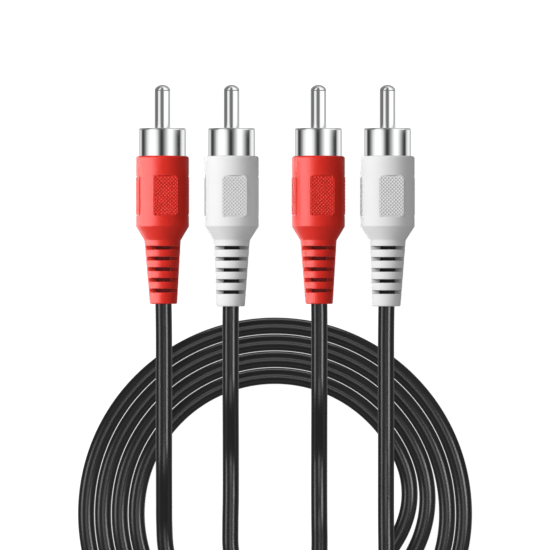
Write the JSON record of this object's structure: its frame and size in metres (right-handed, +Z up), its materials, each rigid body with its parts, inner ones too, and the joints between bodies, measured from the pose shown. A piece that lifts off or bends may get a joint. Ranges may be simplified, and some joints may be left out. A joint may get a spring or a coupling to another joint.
{
  "type": "rca audio cable",
  "caption": "Stereo phono cable with red and white moulded plugs on black round leads, wound together into one flat coil, lying flat.",
  "frame": {"origin": "on the surface that the cable lies on, under the middle of the four plugs", "axes": "+Y towards the pins' tips, +X across the four plugs to the right, +Z up from the surface"},
  "size_m": [0.081, 0.1291, 0.0109],
  "materials": {
    "red_pvc": "satin moulded soft PVC, fine matt grain",
    "white_pvc": "satin moulded soft PVC, fine matt grain",
    "nickel_plate": "bright nickel plate",
    "nylon": "natural nylon, satin",
    "polyethylene": "natural polyethylene, waxy",
    "copper": "bare copper wire",
    "tinned_copper": "twisted tinned copper strands",
    "black_pvc": "smooth black PVC jacket, soft gloss"
  },
  "bodies": {
    "root": {"red_a_housing": "red_pvc", "red_a_ground_shell": "nickel_plate", "red_a_centre_pin": "nickel_plate", "red_a_insulator": "nylon", "red_a_inner_mould": "polyethylene", "red_a_conductor": "copper", "red_a_core_insulation": "polyethylene", "red_a_shield_pigtail": "tinned_copper", "red_a_lead_run": "black_pvc", "white_a_housing": "white_pvc", "white_a_ground_shell": "nickel_plate", "white_a_centre_pin": "nickel_plate", "white_a_insulator": "nylon", "white_a_inner_mould": "polyethylene", "white_a_conductor": "copper", "white_a_core_insulation": "polyethylene", "white_a_shield_pigtail": "tinned_copper", "white_a_lead_run": "black_pvc", "red_b_housing": "red_pvc", "red_b_ground_shell": "nickel_plate", "red_b_centre_pin": "nickel_plate", "red_b_insulator": "nylon", "red_b_inner_mould": "polyethylene", "red_b_conductor": "copper", "red_b_core_insulation": "polyethylene", "red_b_shield_pigtail": "tinned_copper", "red_b_lead_run": "black_pvc", "white_b_housing": "white_pvc", "white_b_ground_shell": "nickel_plate", "white_b_centre_pin": "nickel_plate", "white_b_insulator": "nylon", "white_b_inner_mould": "polyethylene", "white_b_conductor": "copper", "white_b_core_insulation": "polyethylene", "white_b_shield_pigtail": "tinned_copper", "white_b_lead_run": "black_pvc", "lead_coil": "black_pvc"}
  },
  "joints": []
}
